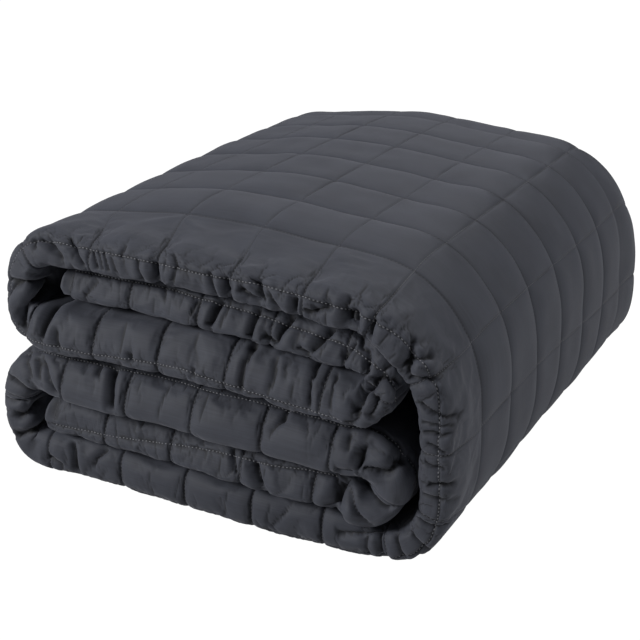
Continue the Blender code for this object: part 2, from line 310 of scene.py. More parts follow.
def soft_noise(x, y, seed):
    """Smooth random values from -1 to 1 on a unit grid."""
    table = np.random.default_rng(seed).uniform(-1.0, 1.0, (256, 64))
    x0, y0 = np.floor(x).astype(int), np.floor(y).astype(int)
    fx, fy = smoothstep(x - x0, 0.0, 1.0), smoothstep(y - y0, 0.0, 1.0)
    corner = [[table[(x0 + i) % 256, (y0 + j) % 64] for j in (0, 1)] for i in (0, 1)]
    low = corner[0][0] * (1.0 - fx) + corner[1][0] * fx
    high = corner[0][1] * (1.0 - fx) + corner[1][1] * fx
    return low * (1.0 - fy) + high * fy


Drift = namedtuple("Drift", "name begins greatest ends amount y_start y_end")

DRIFTS = (
    Drift("top, leftmost seam", 9.0, 12.0, 14.0, 13, 110, 270),
    Drift("right side, middle seam", 16.5, 18.0, 20.0, 10, 120, 330),
)


def crown(x, y):
    across = np.clip(x / BUNDLE_WIDTH, 0.0, 1.0)
    middle = 1.0 - (2.0 * across - 1.0) ** 2
    sides = CROWN_LEFT + (CROWN_RIGHT - CROWN_LEFT) * across
    rise = sides * (1.0 - middle) + CROWN_MIDDLE * middle
    back = np.clip((y - BACK_SAG_START) / (DEPTH - BACK_SAG_START), 0.0, 1.0)
    edge = np.clip((y - BACK_ROUNDING_START) / (DEPTH - BACK_ROUNDING_START), 0.0, 1.0)
    share = smoothstep(y, 0.0, CROWN_FULL)
    return 1.0 + share * rise + BACK_SAG * back ** 2 + BACK_ROUNDING * edge ** 2


def spread(x, y, z):
    across = np.clip(x / BUNDLE_WIDTH, 0.0, 1.0)
    taper = np.clip((y - BACK_SAG_START) / (DEPTH - BACK_SAG_START), 0.0, 1.0) ** 2
    swell = LEFT_SPREAD * smoothstep(y, 0.0, CROWN_FULL) * (1.0 - across)
    return swell + BACK_TAPER * taper * across * z / FRONT_HEIGHT


def seam_shift(numbers, y):
    """How far the seams lie along the strip from their places at the hem."""
    stretch = FAN_STRETCH * (np.clip(numbers, FAN_FIRST, FAN_LAST) - FAN_CENTRE)
    stretch = stretch * smoothstep(numbers, FAN_FIRST - FAN_FADE_IN, FAN_FIRST)
    stretch = stretch * (1.0 - smoothstep(numbers, FAN_LAST, FAN_LAST + FAN_FADE_OUT))
    shift = stretch * smoothstep(y, 0.0, EDGE_TO_FIRST_SEAM)
    for drift in DRIFTS:
        near = smoothstep(numbers, drift.begins, drift.greatest)
        near = near * (1.0 - smoothstep(numbers, drift.greatest, drift.ends))
        shift = shift + near * drift.amount * MM * smoothstep(y, drift.y_start * MM, drift.y_end * MM)
    return shift


def end_closing():
    """How far the padding is closed, from 0 at a free end to 1 away from it."""
    edge = 0.5 * midline.along("thick", 0.0)
    distance = midline.distance_at(numbers)
    nearest = np.minimum(distance, midline.length - distance)
    share = np.clip(1.0 - nearest / edge, 0.0, 1.0)
    return (1.0 - share ** END_SQUARE) ** (1.0 / END_SQUARE)


def bare_row(row, side):
    """Points of one row of the smooth form on the outer (1) or inner (-1) face, and its depth."""
    base = midline.distance_at(numbers)
    half = 0.5 * midline.along("thick", base)
    y = row.place + row.rounding * half
    distance = np.clip(base + seam_shift(numbers, y), 0.0, midline.length)
    depth = y
    uneven = FRONT_UNEVEN * soft_noise(distance / FRONT_WAVE, np.zeros_like(distance), SEED + 9)
    near_front = 1.0 - smoothstep(y, 0.0, FRONT_FADE)
    y = y + (midline.along("front", distance) + uneven) * near_front
    bend = midline.along("bend", distance)
    half = half * end_closing() * row.opening
    tight = np.minimum(half, SQUEEZE / np.maximum(np.abs(bend), 1.0))
    off = side * np.where(side * bend > 0.0, tight, half)
    x = midline.along("x", distance) + midline.along("normal_x", distance) * off
    z = midline.along("z", distance) + midline.along("normal_z", distance) * off
    z = np.maximum(z, 0.0)
    y = y + midline.along("slope", distance) * midline.along("normal_z", distance) * off * near_front
    return np.stack([x - spread(x, y, z), y, z * crown(x, y)], axis=1), depth


outer = [bare_row(row, 1.0) for row in reversed(front_rows)]
inner = [bare_row(row, -1.0) for row in front_rows[1:]]
bare = np.array([points for points, depth in outer + inner])
depth = np.array([place for points, place in outer + inner])
bare[..., 0] -= BOX_CENTRE[0]
bare[..., 1] -= BOX_CENTRE[1]
steps = np.linalg.norm(np.diff(bare, axis=0), axis=2)
walked = np.concatenate([np.zeros((1, columns + 1)), np.cumsum(steps, axis=0)])
from_rim = walked[side_rows] - walked
print(f"From the front rim to the back over the top: {from_rim[0].mean() * 1000:.0f} mm")

# %% [markdown]
# ## Where the hem is sewn
#
# The hem is turned and top-stitched a finger's width from the edge. Because the edge is rolled,
# that stitch line wanders: on the top and the right side it runs near the middle of the rolled
# front, on the layers below it slips over or under. The table gives its distance from the front
# rim at chosen seam numbers, in millimetres, with the outer face as positive.

# %% Hem line
HemPlace = namedtuple("HemPlace", "number from_rim")

HEM_LINE = [HemPlace(*row) for row in (
    # layer two and layer three
    (-0.2, 9), (1.0, 9), (2.0, 8.5), (3.0, 7), (3.8, 5), (4.1, 3.5), (4.4, 0), (4.6, 2), (4.9, 11),
    (5.1, 18), (5.35, 14), (5.6, 11), (6.7, 10), (7.6, 7), (8.2, 8),
    # the upper left fold and the top
    (9.0, 10), (10.4, 8), (11.4, 6.5), (12.0, 6.5), (13.0, 4), (13.6, 2.5), (14.4, 5), (15.0, 4),
    (15.7, 2),
    # the corner, the right side and the underside
    (16.0, 3), (16.4, 7), (17.1, 9), (17.5, 5), (17.8, 3), (18.6, 4), (19.5, 6), (21.0, 12), (25.0, 14),
    # layers four and five
    (26.4, 15), (27.3, 17), (28.2, 18.5), (31.0, 18.5), (31.6, 21), (31.9, 26), (32.5, 26), (32.75, -11),
    (33.2, -10), (33.6, -7), (34.3, -6), (35.1, -1), (35.8, 3), (37.2, 6),
)]

hem = np.interp(numbers, [p.number for p in HEM_LINE], [p.from_rim for p in HEM_LINE]) * MM
print(f"The hem's stitch line lies {hem.min() * 1000:.0f} to {hem.max() * 1000:.0f} mm from the rim")

# %% [markdown]
# ## Quilting
#
# Every square is a soft pillow: nearly flat in the middle, and falling steeply into the seams.
# A share that runs from 0 at one seam to 1 at the next gives that shape, once along the strip
# and once from front to back. The rolled front edge is drawn in harder than the faces.

# %% Pillows and seams
FACE_SEAM = 0.7 * MM        # how far a seam is drawn in, on the faces and on the rolled front
FRONT_SEAM = 1.3 * MM
CROSS_SEAM = 1.8 * MM       # the seams along the strip are drawn in harder than those across it
HEM_SEAM = 0.9 * MM
FACE_FLATNESS = 4.0         # higher is flatter in mid square, with steeper sides
FRONT_FLATNESS = 6.5
FRONT_ENDS = (16 * MM, 44 * MM)     # from the rim, where the front's drawing in fades to the faces'
HEM_REACH = 14 * MM         # how far from the hem its own drawing in acts
END_HEM = 8.5 * MM          # from a free end to its hem's stitches
STITCH_PULL = 0.8 * MM      # the thread's own narrow groove, at the front edge
FACE_STITCH_PULL = 0.32 * MM
STITCH_WIDTH = 0.9 * MM


def distance_to_seam():
    """Distance of each column to the nearest seam or free end's hem, along the strip."""
    travelled = midline.distance_at(numbers)
    share = np.mod(numbers, 1.0)
    seam = np.minimum(share, 1.0 - share) * np.gradient(travelled, numbers)
    end = np.minimum(travelled, midline.length - travelled)
    return np.minimum(seam, np.abs(end - END_HEM))


to_seam = distance_to_seam()


def pillow(share, flatness):
    """0 at the seams, 1 in mid square."""
    return 1.0 - np.clip(np.abs(2.0 * share - 1.0), 0.0, 1.0) ** flatness


def share_across():
    """Place of each grid point between its cross seams, and the distance to the nearest one."""
    first = EDGE_TO_FIRST_SEAM
    last = first + (CROSS_SEAMS - 1) * SEAM_PITCH_DEEP
    to_first = np.where(from_rim > hem, (first - depth) / np.maximum(first - depth + from_rim - hem, MM),
                        (hem - from_rim) / (hem - from_rim + np.maximum(first - depth, 0.0) + MM))
    before = np.where(from_rim > hem, 1.0 - to_first, to_first)
    middle = np.mod((depth - first) / SEAM_PITCH_DEEP, 1.0)
    behind = 0.5 * (depth - last) / (DEPTH - last)
    share = np.where(depth < first, before, np.where(depth < last, middle, behind))
    nearest = np.round((depth - first) / SEAM_PITCH_DEEP)
    seam = first + np.clip(nearest, 0, CROSS_SEAMS - 1) * SEAM_PITCH_DEEP
    return share, np.abs(depth - seam)


def quilting():
    along = np.mod(numbers, 1.0)[None, :] * np.ones((len(depth), 1))
    across, to_cross = share_across()
    front = 1.0 - smoothstep(np.abs(from_rim), *FRONT_ENDS)
    draw_along = FACE_SEAM + (FRONT_SEAM - FACE_SEAM) * front
    near_hem = np.exp(-((from_rim - hem) / HEM_REACH) ** 2)
    draw_across = CROSS_SEAM + (HEM_SEAM - CROSS_SEAM) * near_hem
    flatness = FACE_FLATNESS + (FRONT_FLATNESS - FACE_FLATNESS) * front
    dip_along = draw_along * (1.0 - pillow(along, flatness))
    dip_across = draw_across * (1.0 - pillow(across, flatness))
    dip = (dip_along ** 3 + dip_across ** 3) ** (1.0 / 3.0)
    nearest = np.minimum(np.minimum(to_seam, to_cross), np.abs(from_rim - hem))
    pull = FACE_STITCH_PULL + (STITCH_PULL - FACE_STITCH_PULL) * front
    return -dip - pull * np.exp(-((nearest / STITCH_WIDTH) ** 2))


relief = quilting()
print(f"Quilting is drawn in by up to {-relief.min() * 1000:.1f} mm")

# %% [markdown]
# ## Gathers
#
# The hem is shorter than the cloth it holds, so the cloth puckers beside it in short creases
# that run across the stitch line. Smooth random values, laid on a grid that is long across the
# hem and short along it, cross zero along such lines. A narrow trough is cut at each crossing.

# %% Gathers beside the hem
Gather = namedtuple("Gather", "number size")    # depth of the puckers at a seam number, in mm

GATHERS = [Gather(*row) for row in (
    (0.0, 0.7), (3.0, 0.9), (4.4, 1.7), (6.0, 1.6), (7.5, 0.8), (9.0, 0.7), (11.0, 1.2), (12.5, 1.5),
    (14.5, 1.7), (15.8, 2.0), (17.0, 1.7), (20.0, 1.8), (22.0, 1.0), (27.0, 0.8), (30.0, 0.9), (32.0, 1.3),
    (33.5, 1.5), (35.0, 1.0), (37.0, 0.8),
)]
GATHER_SHARE = 0.35         # of the table's sizes: the main creases do the rest
GATHER_OUT, GATHER_IN = 13.0, 17.0      # mm beside the hem, on its outer and its inner side
NARROW_REACH = 6.0

Pucker = namedtuple("Pucker", "along deep width share")     # spacing in mm, trough width, depth

BROAD, FINE = Pucker(9.5, 34.0, 0.45, 1.0), Pucker(4.6, 16.0, 0.5, 0.4)
REACH_VARIES = (9.0, 90.0, 0.45)        # mm along, mm deep, and how much
LEAN_VARIES = (30.0, 60.0, 0.35)


def troughs(x, y, width, seed):
    """0 on smooth ground, 1 along the bottom of narrow troughs."""
    return np.clip(1.0 - np.abs(soft_noise(x, y, seed)) / width, 0.0, 1.0) ** 2


along_mm = midline.distance_at(numbers)[None, :] / MM * np.ones((len(depth), 1))
rim_mm = from_rim / MM


def patches(along, deep, size, seed):
    """Smooth random values up to a size, in patches with these lengths in millimetres."""
    return size * soft_noise(along_mm / along, rim_mm / deep, seed)


def gathers():
    size = np.interp(numbers, [g.number for g in GATHERS], [g.size for g in GATHERS]) * MM
    off_hem = (from_rim - hem) / MM
    reach = np.where(off_hem > 0.0, GATHER_OUT, GATHER_IN)
    reach = reach * (1.0 + patches(*REACH_VARIES, SEED + 5))
    envelope = np.exp(-((off_hem / reach) ** 2))
    lean = patches(*LEAN_VARIES, SEED + 6) * off_hem
    broad = troughs((along_mm + lean) / BROAD.along, rim_mm / BROAD.deep, BROAD.width, SEED)
    fine = troughs((along_mm - lean) / FINE.along, rim_mm / FINE.deep, FINE.width, SEED + 1)
    narrow = np.exp(-((off_hem / NARROW_REACH) ** 2))
    return -GATHER_SHARE * size * (BROAD.share * envelope * broad + FINE.share * narrow * fine)


LUMPS, SMALL_LUMPS = (27.0, 24.0, 0.9), (11.0, 12.0, 0.2)     # mm along, mm deep, height in mm


def unevenness():
    """Soft lumps of filling, about a millimetre high."""
    return (patches(*LUMPS, SEED + 2) + patches(*SMALL_LUMPS, SEED + 3)) * MM


relief = relief + gathers() + unevenness() * pillow(np.mod(numbers, 1.0), FRONT_FLATNESS)
print(f"With gathers, {-relief.min() * 1000:.1f} mm")

# %% [markdown]
# ## The main creases
#
# The larger creases and tucks are each in their own place on the real blanket, so they are listed
# one by one: from one point on the cloth to another, each given by seam number and by distance
# from the front rim. A crease is a sharp valley between two soft shoulders, and steeper on one
# side, where the cloth tucks under. All but the seam numbers are in millimetres.

# %% Table of creases
Crease = namedtuple("Crease", "number_1 rim_1 number_2 rim_2 depth width")

CREASES = [Crease(*row) for row in (
    # the top's hem, from left to right
    (11.66, 13, 11.95, -6, 4.5, 1.6), (12.05, 6, 12.14, -6, 2.6, 1.2), (12.13, 7, 12.22, -6, 2.2, 1.2),
    (12.21, 7, 12.32, -6, 2.4, 1.2), (12.34, 4, 12.42, -7, 1.6, 1.2), (12.50, 13, 12.50, 4, 2.0, 1.0),
    (12.72, 5, 12.80, -9, 2.4, 1.3), (12.96, 6, 13.05, -10, 5.0, 1.8), (13.20, 12, 13.29, 3, 2.2, 1.1),
    (13.29, 3, 13.26, -5, 1.8, 1.1), (13.70, 6, 13.84, -9, 3.2, 1.3), (13.92, 5, 14.02, -9, 4.6, 1.8),
    (14.12, 1, 14.46, -6, 4.5, 2.0), (14.38, 9, 14.50, -4, 5.2, 1.9), (14.30, 2, 14.46, -2, 2.0, 1.2),
    (14.55, 2, 14.72, -8, 3.0, 1.5), (14.90, 3, 14.92, -10, 4.4, 1.6), (15.02, -3, 15.25, -5, 3.0, 1.6),
    (15.16, -4, 15.46, 2, 4.6, 2.6), (15.66, 12, 15.62, 3, 2.6, 1.4), (15.72, 6, 15.86, -7, 7.0, 3.2),
    (15.66, 3, 15.74, -8, 4.0, 2.2),
    # the corner and the right side's hem
    (16.02, 6, 16.12, -8, 4.6, 1.6), (16.52, 15, 16.68, 2, 4.0, 1.6), (16.60, 8, 16.72, 2, 4.6, 2.4),
    (16.72, 2, 16.86, -6, 5.6, 2.8), (16.68, 2, 16.70, -8, 4.4, 1.8), (16.71, 3, 16.80, 18, 3.8, 1.6),
    (16.90, -6, 17.06, 12, 4.2, 1.8), (17.30, -6, 17.46, 4, 3.4, 1.4), (17.46, 4, 17.58, 21, 3.4, 1.4),
    (17.56, -7, 17.63, 15, 2.8, 1.3), (17.69, -7, 17.73, 12, 3.0, 1.4), (17.84, -4, 17.95, 9, 2.0, 1.3),
    (18.14, -6, 18.20, 8, 2.2, 1.3), (18.44, -3, 18.45, 16, 3.6, 1.4), (18.62, -7, 18.66, 8, 2.0, 1.3),
    (19.12, -9, 19.06, 16, 3.2, 1.5), (19.40, -6, 19.44, 12, 2.4, 1.5),
    # the upper left fold, and its inside
    (11.25, 9, 11.62, -3, 5.0, 1.8), (11.19, 9, 11.20, 1, 2.6, 1.5), (11.40, 8, 11.50, 2, 2.6, 1.5),
    (10.58, 10, 10.70, -36, 4.0, 1.8), (10.38, 10, 10.60, -6, 3.0, 1.8), (10.02, 4, 10.64, -38, 7.0, 3.0),
    (9.72, 6, 9.64, -32, 6.0, 2.2), (9.52, -2, 9.46, 10, 2.6, 1.8),
    # the lower left fold, its inside and the cloth below it
    (26.17, 9, 26.34, -16, 5.0, 2.2), (25.93, 9, 25.94, -12, 4.0, 1.8), (25.70, 0, 25.86, -28, 6.0, 2.6),
    (25.44, 5, 25.54, -24, 5.0, 2.0), (25.02, 1, 24.80, 6, 3.6, 1.8), (24.66, -12, 24.60, 8, 3.4, 1.5),
    (24.40, 2, 24.20, -14, 3.4, 1.8), (26.68, 9, 26.96, -10, 4.0, 1.8), (26.46, 16, 26.55, -4, 2.4, 1.6),
    # layer two and the upper right fold
    (0.50, 5, 0.34, -6, 1.6, 1.4), (1.46, 12, 1.52, 2, 1.8, 1.2), (1.97, 7, 1.92, -4, 1.6, 1.2),
    (2.28, 11, 2.22, -8, 5.0, 1.8), (2.40, 10, 2.36, -6, 1.6, 1.3), (2.78, 12, 2.77, -8, 3.6, 1.5),
    (3.24, 14, 3.08, -7, 4.4, 1.7), (2.93, -2, 3.06, -6, 3.4, 2.0), (3.40, -3, 3.55, -7, 3.4, 2.0),
    (3.58, -6, 3.80, 13, 4.6, 1.8), (4.02, -4, 4.14, 8, 2.6, 1.5), (4.20, 14, 4.30, 4, 3.0, 1.5),
    (4.66, 5, 4.74, 19, 2.6, 1.3), (4.92, 10, 4.88, 20, 2.2, 1.3), (4.36, 7, 4.46, -4, 3.2, 1.6),
    (4.50, -2, 4.62, -10, 3.4, 1.8), (4.72, 1, 5.10, -6, 6.4, 2.8), (5.10, -6, 5.40, 4, 6.4, 2.6),
    (4.96, 3, 5.20, 8, 4.4, 1.8), (4.74, 1, 4.86, 15, 4.0, 1.5), (5.28, 4, 5.44, 12, 3.4, 1.5),
    (5.02, 10, 5.24, 16, 3.0, 1.6),
    # layer three
    (6.80, -20, 6.82, 12, 3.2, 1.4), (6.52, -14, 6.50, 6, 2.2, 1.2), (6.83, -28, 6.77, -14, 2.0, 1.6),
    (6.50, -26, 6.52, -16, 1.8, 1.5), (6.14, -24, 6.10, 9, 3.0, 1.5), (8.40, 3, 8.36, 10, 3.6, 1.6),
    (7.45, 4, 7.43, 11, 2.2, 1.4), (5.84, -16, 5.78, 6, 2.0, 1.6),
    # layer four and the lower right fold
    (26.62, 10, 26.70, -4, 2.6, 1.6), (27.52, 17, 27.54, 9, 2.2, 1.2), (27.74, 18, 27.84, -10, 5.0, 1.8),
    (30.27, 22, 30.28, 10, 2.2, 1.4), (30.28, 12, 30.16, 0, 1.8, 1.6), (31.22, 14, 31.22, 3, 2.2, 1.8),
    (31.38, 9, 31.42, -8, 6.6, 2.8), (31.30, -12, 31.10, -13, 6.0, 2.6), (31.50, -6, 31.70, 2, 5.0, 2.0),
    (31.70, 2, 31.64, 21, 4.6, 1.8), (32.44, -16, 32.12, -4, 6.0, 2.4), (32.12, -4, 32.02, 10, 5.4, 2.0),
    (32.54, -6, 32.28, 9, 2.6, 1.4), (32.60, -12, 32.70, 14, 7.0, 3.0),
    # layer five and the underside
    (34.16, -12, 34.04, 4, 3.0, 1.4), (33.82, -7, 33.60, 12, 6.0, 2.4), (21.45, -8, 21.70, 7, 1.8, 2.0),
    (20.27, -5, 20.27, 10, 2.0, 1.6), (20.05, -12, 20.05, 12, 2.6, 1.5), (19.72, -10, 19.76, 8, 2.4, 1.6),
    (20.75, -1, 20.31, -7, 3.6, 2.2), (20.31, -7, 20.03, -15, 3.6, 2.2),
)]
SHOULDER = 0.12             # height of a crease's shoulders, as a share of its depth
DEEPER = 1.25               # a factor for all of them
GENTLE, STEEP = 1.5, 0.6    # width of a crease's left and right sides, as shares of its own
REACH = 7.0                 # how far a crease acts, in its own widths
SHOULDER_AT, SHOULDER_WIDTH = 3.2, 1.6      # in its own widths too
TAPER, BLUNT_END = 2.2, 0.25                # how fast a crease deepens from its ends, and from what
WANDER = (8.0, 6.0, 0.9)    # mm along, mm deep, and how far a crease strays from straight


def creases():
    total = np.zeros_like(from_rim)
    wander = patches(*WANDER, SEED + 11)
    for crease in CREASES:
        x1, x2 = midline.distance_at(np.array([crease.number_1, crease.number_2])) / MM
        across, down = x2 - x1, crease.rim_2 - crease.rim_1
        reach = REACH * crease.width
        near = np.nonzero((along_mm[0] > min(x1, x2) - reach) & (along_mm[0] < max(x1, x2) + reach))[0]
        part = slice(near[0], near[-1] + 1)
        x, w = along_mm[:, part] + wander[:, part], rim_mm[:, part]
        place = ((x - x1) * across + (w - crease.rim_1) * down) / (across ** 2 + down ** 2)
        place = np.clip(place, 0.0, 1.0)
        away = np.hypot(x - x1 - place * across, w - crease.rim_1 - place * down)
        taper = np.minimum(1.0, TAPER * np.sqrt(np.clip(place * (1.0 - place), 0.0, 1.0)) + BLUNT_END)
        facing = np.sign(midline.along("normal_z", x1 * MM))
        to_right = (x - x1 - place * across) * facing > 0.0
        valley = taper * np.exp(-away / (crease.width * np.where(to_right, STEEP, GENTLE)))
        off_shoulder = (away - SHOULDER_AT * crease.width) / (SHOULDER_WIDTH * crease.width)
        shoulder = taper * np.exp(-(off_shoulder ** 2))
        total[:, part] += DEEPER * crease.depth * MM * (SHOULDER * shoulder - valley)
    return total


relief = relief + creases()
print(f"{len(CREASES)} creases laid by hand")

# %% Table of swells
Swell = namedtuple("Swell", "name number rim height half_along half_deep")     # in mm of cloth

SWELLS = (
    Swell("upper right fold, below", 5.20, 16, 3.2, 17, 26),
    Swell("lower right fold, upper petal", 31.88, 6, 2.6, 9, 12),
    Swell("lower right fold, lower petal", 32.42, 8, 3.4, 10, 13),
    Swell("lower left corner", 25.05, 12, 4.0, 15, 30),
    Swell("upper left fold, lower corner", 9.75, 12, 2.5, 13, 26),
)


def swells():
    total = np.zeros_like(from_rim)
    for swell in SWELLS:
        along = (along_mm - midline.distance_at(swell.number) / MM) / swell.half_along
        deep = (rim_mm - swell.rim) / swell.half_deep
        total += swell.height * MM * np.exp(-(along ** 2 + deep ** 2))
    return total


relief = relief + swells()
print(f"{len(SWELLS)} swells where the filling has gathered")

# %% [markdown]
# ## From the bare form to the cloth
#
# The relief moves each grid point along the smooth form's normal, which we find from the
# neighbouring points. The wrapped grid is a tube, so its rows join up, and its ends are pinched
# shut. What hardly shows, deep inside the bundle and underneath, is drawn in blocks of 4 x 4
# cells, each a single face, which keeps the piece light.

# %% Push the relief out
def grid_normals(points):
    around = np.roll(points, -1, axis=0) - np.roll(points, 1, axis=0)
    along = np.gradient(points, axis=1)
    normal = np.cross(around, along)
    return normal / np.maximum(np.linalg.norm(normal, axis=2, keepdims=True), 1e-12)


ring = bare[:-1]                                    # the last row is the first one again
normals = grid_normals(ring)
normals[0] = 0.5 * (normals[1] + normals[-1])
fades = end_closing()[None, :, None]
cloth = ring + normals * relief[:-1, :, None] * fades
cloth[..., 2] = np.maximum(cloth[..., 2], 0.0)
mirror = (side_rows * 2 - np.arange(side_rows * 2)) % (side_rows * 2)
cloth[:, 0], cloth[:, -1] = (0.5 * (cloth[:, end] + cloth[mirror, end]) for end in (0, -1))
low, high = cloth.reshape(-1, 3).min(axis=0), cloth.reshape(-1, 3).max(axis=0)
print("Cloth from", np.round(low, 4), "to", np.round(high, 4))

# %% [markdown]
# ## Wrinkles from a short cloth simulation
#
# A hem is sewn to a slightly longer cloth, and the surplus has to buckle. That is best left to a
# simulation: the band of cloth along the front edge is given a few per cent of surplus near the
# hem, is pinned at its seams, and settles for a few frames without gravity. We then move the
# grid by what it moved, with an upper limit, so that no layer is pushed far into the next one.

# %% Settle the front band
SETTLE_FRAMES = 14
SURPLUS = 0.03                      # of the cloth's length, near the hem
SURPLUS_BAND = (13 * MM, 12 * MM)   # its half width beside the hem, and how softly it ends
PINNED_WIDTH = 1.0 * MM             # of the strip beside a seam that the thread holds down
LARGEST_MOVE = 2.6 * MM
INNER_CELLS = 20                    # rows of the band on the inner face, behind the front edge
BAND = slice(side_rows - EDGE_CELLS - BEHIND_EDGE_CELLS, side_rows + EDGE_CELLS + INNER_CELLS)
WEIGHT_STEPS = 40


def band_mesh():
    points = cloth[BAND]
    deep, wide = points.shape[:2]
    corner = np.arange(deep * wide).reshape(deep, wide)
    quads = np.stack([corner[:-1, :-1], corner[1:, :-1], corner[1:, 1:], corner[:-1, 1:]], axis=-1)
    mesh = bpy.data.meshes.new("front_band")
    mesh.from_pydata(points.reshape(-1, 3).tolist(), [], quads.reshape(-1, 4).tolist())
    return mesh


def weigh(band, name, weights):
    """A vertex group from an array of weights, in a few dozen steps to keep it quick."""
    group = band.vertex_groups.new(name=name)
    steps = np.round(weights.ravel() * WEIGHT_STEPS).astype(int)
    for step in range(1, WEIGHT_STEPS + 1):
        group.add(np.nonzero(steps == step)[0].tolist(), step / WEIGHT_STEPS, "REPLACE")
    return group.name


def settle_band():
    """Simulate the band, and return how far each of its points moved."""
    band = bpy.data.objects.new("front_band", band_mesh())
    bpy.context.scene.collection.objects.link(band)
    off_hem = np.abs(from_rim[BAND] - hem)
    pins = np.maximum(np.exp(-(off_hem / PINNED_WIDTH) ** 2), np.exp(-(to_seam / PINNED_WIDTH) ** 2))
    pins[[0, -1]], pins[:, [0, -1]] = 1.0, 1.0
    reach, softness = SURPLUS_BAND
    slack = np.exp(-(np.maximum(off_hem - reach, 0.0) / softness) ** 2)
    cloth_modifier = band.modifiers.new("settling", "CLOTH")
    settings = cloth_modifier.settings
    settings.vertex_group_mass = weigh(band, "sewn_down", pins)
    settings.vertex_group_shrink = weigh(band, "not_slack", 1.0 - slack)
    settings.shrink_min, settings.shrink_max = -SURPLUS, 0.0
    settings.quality, settings.mass, settings.pin_stiffness = 4, 0.02, 10
    settings.tension_stiffness = settings.compression_stiffness = 40
    settings.shear_stiffness, settings.bending_stiffness = 10, 0.002
    settings.tension_damping = settings.compression_damping = settings.shear_damping = 2
    settings.bending_damping, settings.air_damping = 0.2, 1
    settings.effector_weights.gravity = 0
    cloth_modifier.collision_settings.use_collision = False
    cloth_modifier.point_cache.frame_end = SETTLE_FRAMES
    for frame in range(1, SETTLE_FRAMES + 1):
        bpy.context.scene.frame_set(frame)
    settled = band.evaluated_get(bpy.context.evaluated_depsgraph_get()).to_mesh()
    flat = np.empty(len(settled.vertices) * 3, np.float32)
    settled.vertices.foreach_get("co", flat)
    move = flat.reshape(cloth[BAND].shape) - cloth[BAND]
    bpy.data.meshes.remove(band.data)
    bpy.context.scene.frame_set(1)
    return move


move = settle_band()
size = np.linalg.norm(move, axis=2, keepdims=True)
cloth[BAND] += move * np.minimum(1.0, LARGEST_MOVE / np.maximum(size, 1e-9))
cloth[..., 2] = np.maximum(cloth[..., 2], 0.0)
print(f"The band moved {size.mean() * 1000:.1f} mm on average, {size.max() * 1000:.1f} mm at most")

# %% [markdown]
# ## How hollow each place is, for the painted crease shade
#
# In a tight crease the pile of the cloth shades itself, more than the bare surface would. So we
# measure how far each point lies below its neighbours, as a share of their distance, and keep
# that on the mesh: the material paints that shade into the creases and seams, darkening the
# colour there.

# %% Measure the hollows
HOLLOW_REACH = (1, 2, 4)            # cells, to either side
HOLLOW_FROM, HOLLOW_TO = 0.07, 0.55
SMALLEST_REACH = 0.2 * MM


def hollows(normals):
    deepest = np.zeros(cloth.shape[:2])
    for cells in HOLLOW_REACH:
        for axis in (0, 1):
            one, other = np.roll(cloth, cells, axis), np.roll(cloth, -cells, axis)
            reach = 0.5 * np.linalg.norm(one - other, axis=2)
            sink = np.sum((0.5 * (one + other) - cloth) * normals, axis=2)
            sink = np.where(reach > SMALLEST_REACH, sink / np.maximum(reach, SMALLEST_REACH), 0.0)
            if axis == 1:
                sink[:, :cells], sink[:, -cells:] = 0.0, 0.0
            deepest = np.maximum(deepest, smoothstep(sink, HOLLOW_FROM, HOLLOW_TO))
    return deepest


skin = grid_normals(cloth)
# How deep each place lies in a crease, kept as painted shade that darkens the cloth's colour
hollow = hollows(skin)
print(f"{(hollow > 0.5).mean():.1%} of the cloth lies in creases and seams")

# %% Which parts of the grid show
FINE_FROM_RIM = 46 * MM             # of every layer
FINE_NUMBERS = ((9.2, 21.2), (24.2, 27.3))      # all that faces out, except the underside
COARSE_PAINTED_SHADE = 0.3                 # what the coarse blocks keep of their painted crease shade


def faces_out(number):
    return np.any([(number > first) & (number < last) for first, last in FINE_NUMBERS], axis=0)


def fine_blocks():
    blocks_deep, blocks_along = 2 * side_rows // BLOCK, columns // BLOCK
    middle = [np.arange(count) * BLOCK + BLOCK // 2 for count in (blocks_deep, blocks_along)]
    near_rim = np.abs(from_rim[np.ix_(middle[0], middle[1])]) < FINE_FROM_RIM
    shown = faces_out(numbers[middle[1]])
    on_outside = middle[0] < side_rows
    return near_rim | (on_outside[:, None] & shown[None, :])


def corners_in_use(fine):
    used = np.zeros((2 * side_rows + 1, columns + 1), bool)
    used[::BLOCK, ::BLOCK] = True
    for row, column in zip(*np.nonzero(fine)):
        used[row * BLOCK:(row + 1) * BLOCK + 1, column * BLOCK:(column + 1) * BLOCK + 1] = True
    used[0] |= used[-1]
    used[-1] = used[0]
    for end in (0, columns):
        used[:, end] |= used[::-1, end]
    return used


def block_outline(row, column):
    """The grid points round one block, in order."""
    left = [(row + step, column) for step in range(BLOCK)]
    bottom = [(row + BLOCK, column + step) for step in range(BLOCK)]
    right = [(row + BLOCK - step, column + BLOCK) for step in range(BLOCK)]
    top = [(row, column + BLOCK - step) for step in range(BLOCK)]
    return left + bottom + right + top


def cloth_faces(fine, used):
    faces = []
    for block_row in range(fine.shape[0]):
        for block_column in range(fine.shape[1]):
            row, column = block_row * BLOCK, block_column * BLOCK
            if not fine[block_row, block_column]:
                faces.append([corner for corner in block_outline(row, column) if used[corner]])
                continue
            for r in range(row, row + BLOCK):
                for c in range(column, column + BLOCK):
                    faces.append([(r, c), (r + 1, c), (r + 1, c + 1), (r, c + 1)])
    return faces


fine = fine_blocks()
used = corners_in_use(fine)
in_fine = np.kron(fine, np.ones((BLOCK, BLOCK), bool))
# The coarse blocks keep only part of the painted crease shade.
hollow[:, :-1] *= np.where(in_fine | np.roll(in_fine, 1, axis=1), 1.0, COARSE_PAINTED_SHADE)
grid_faces = cloth_faces(fine, used)
print(f"{int(fine.sum())} fine blocks of {fine.size}, {len(grid_faces)} faces")

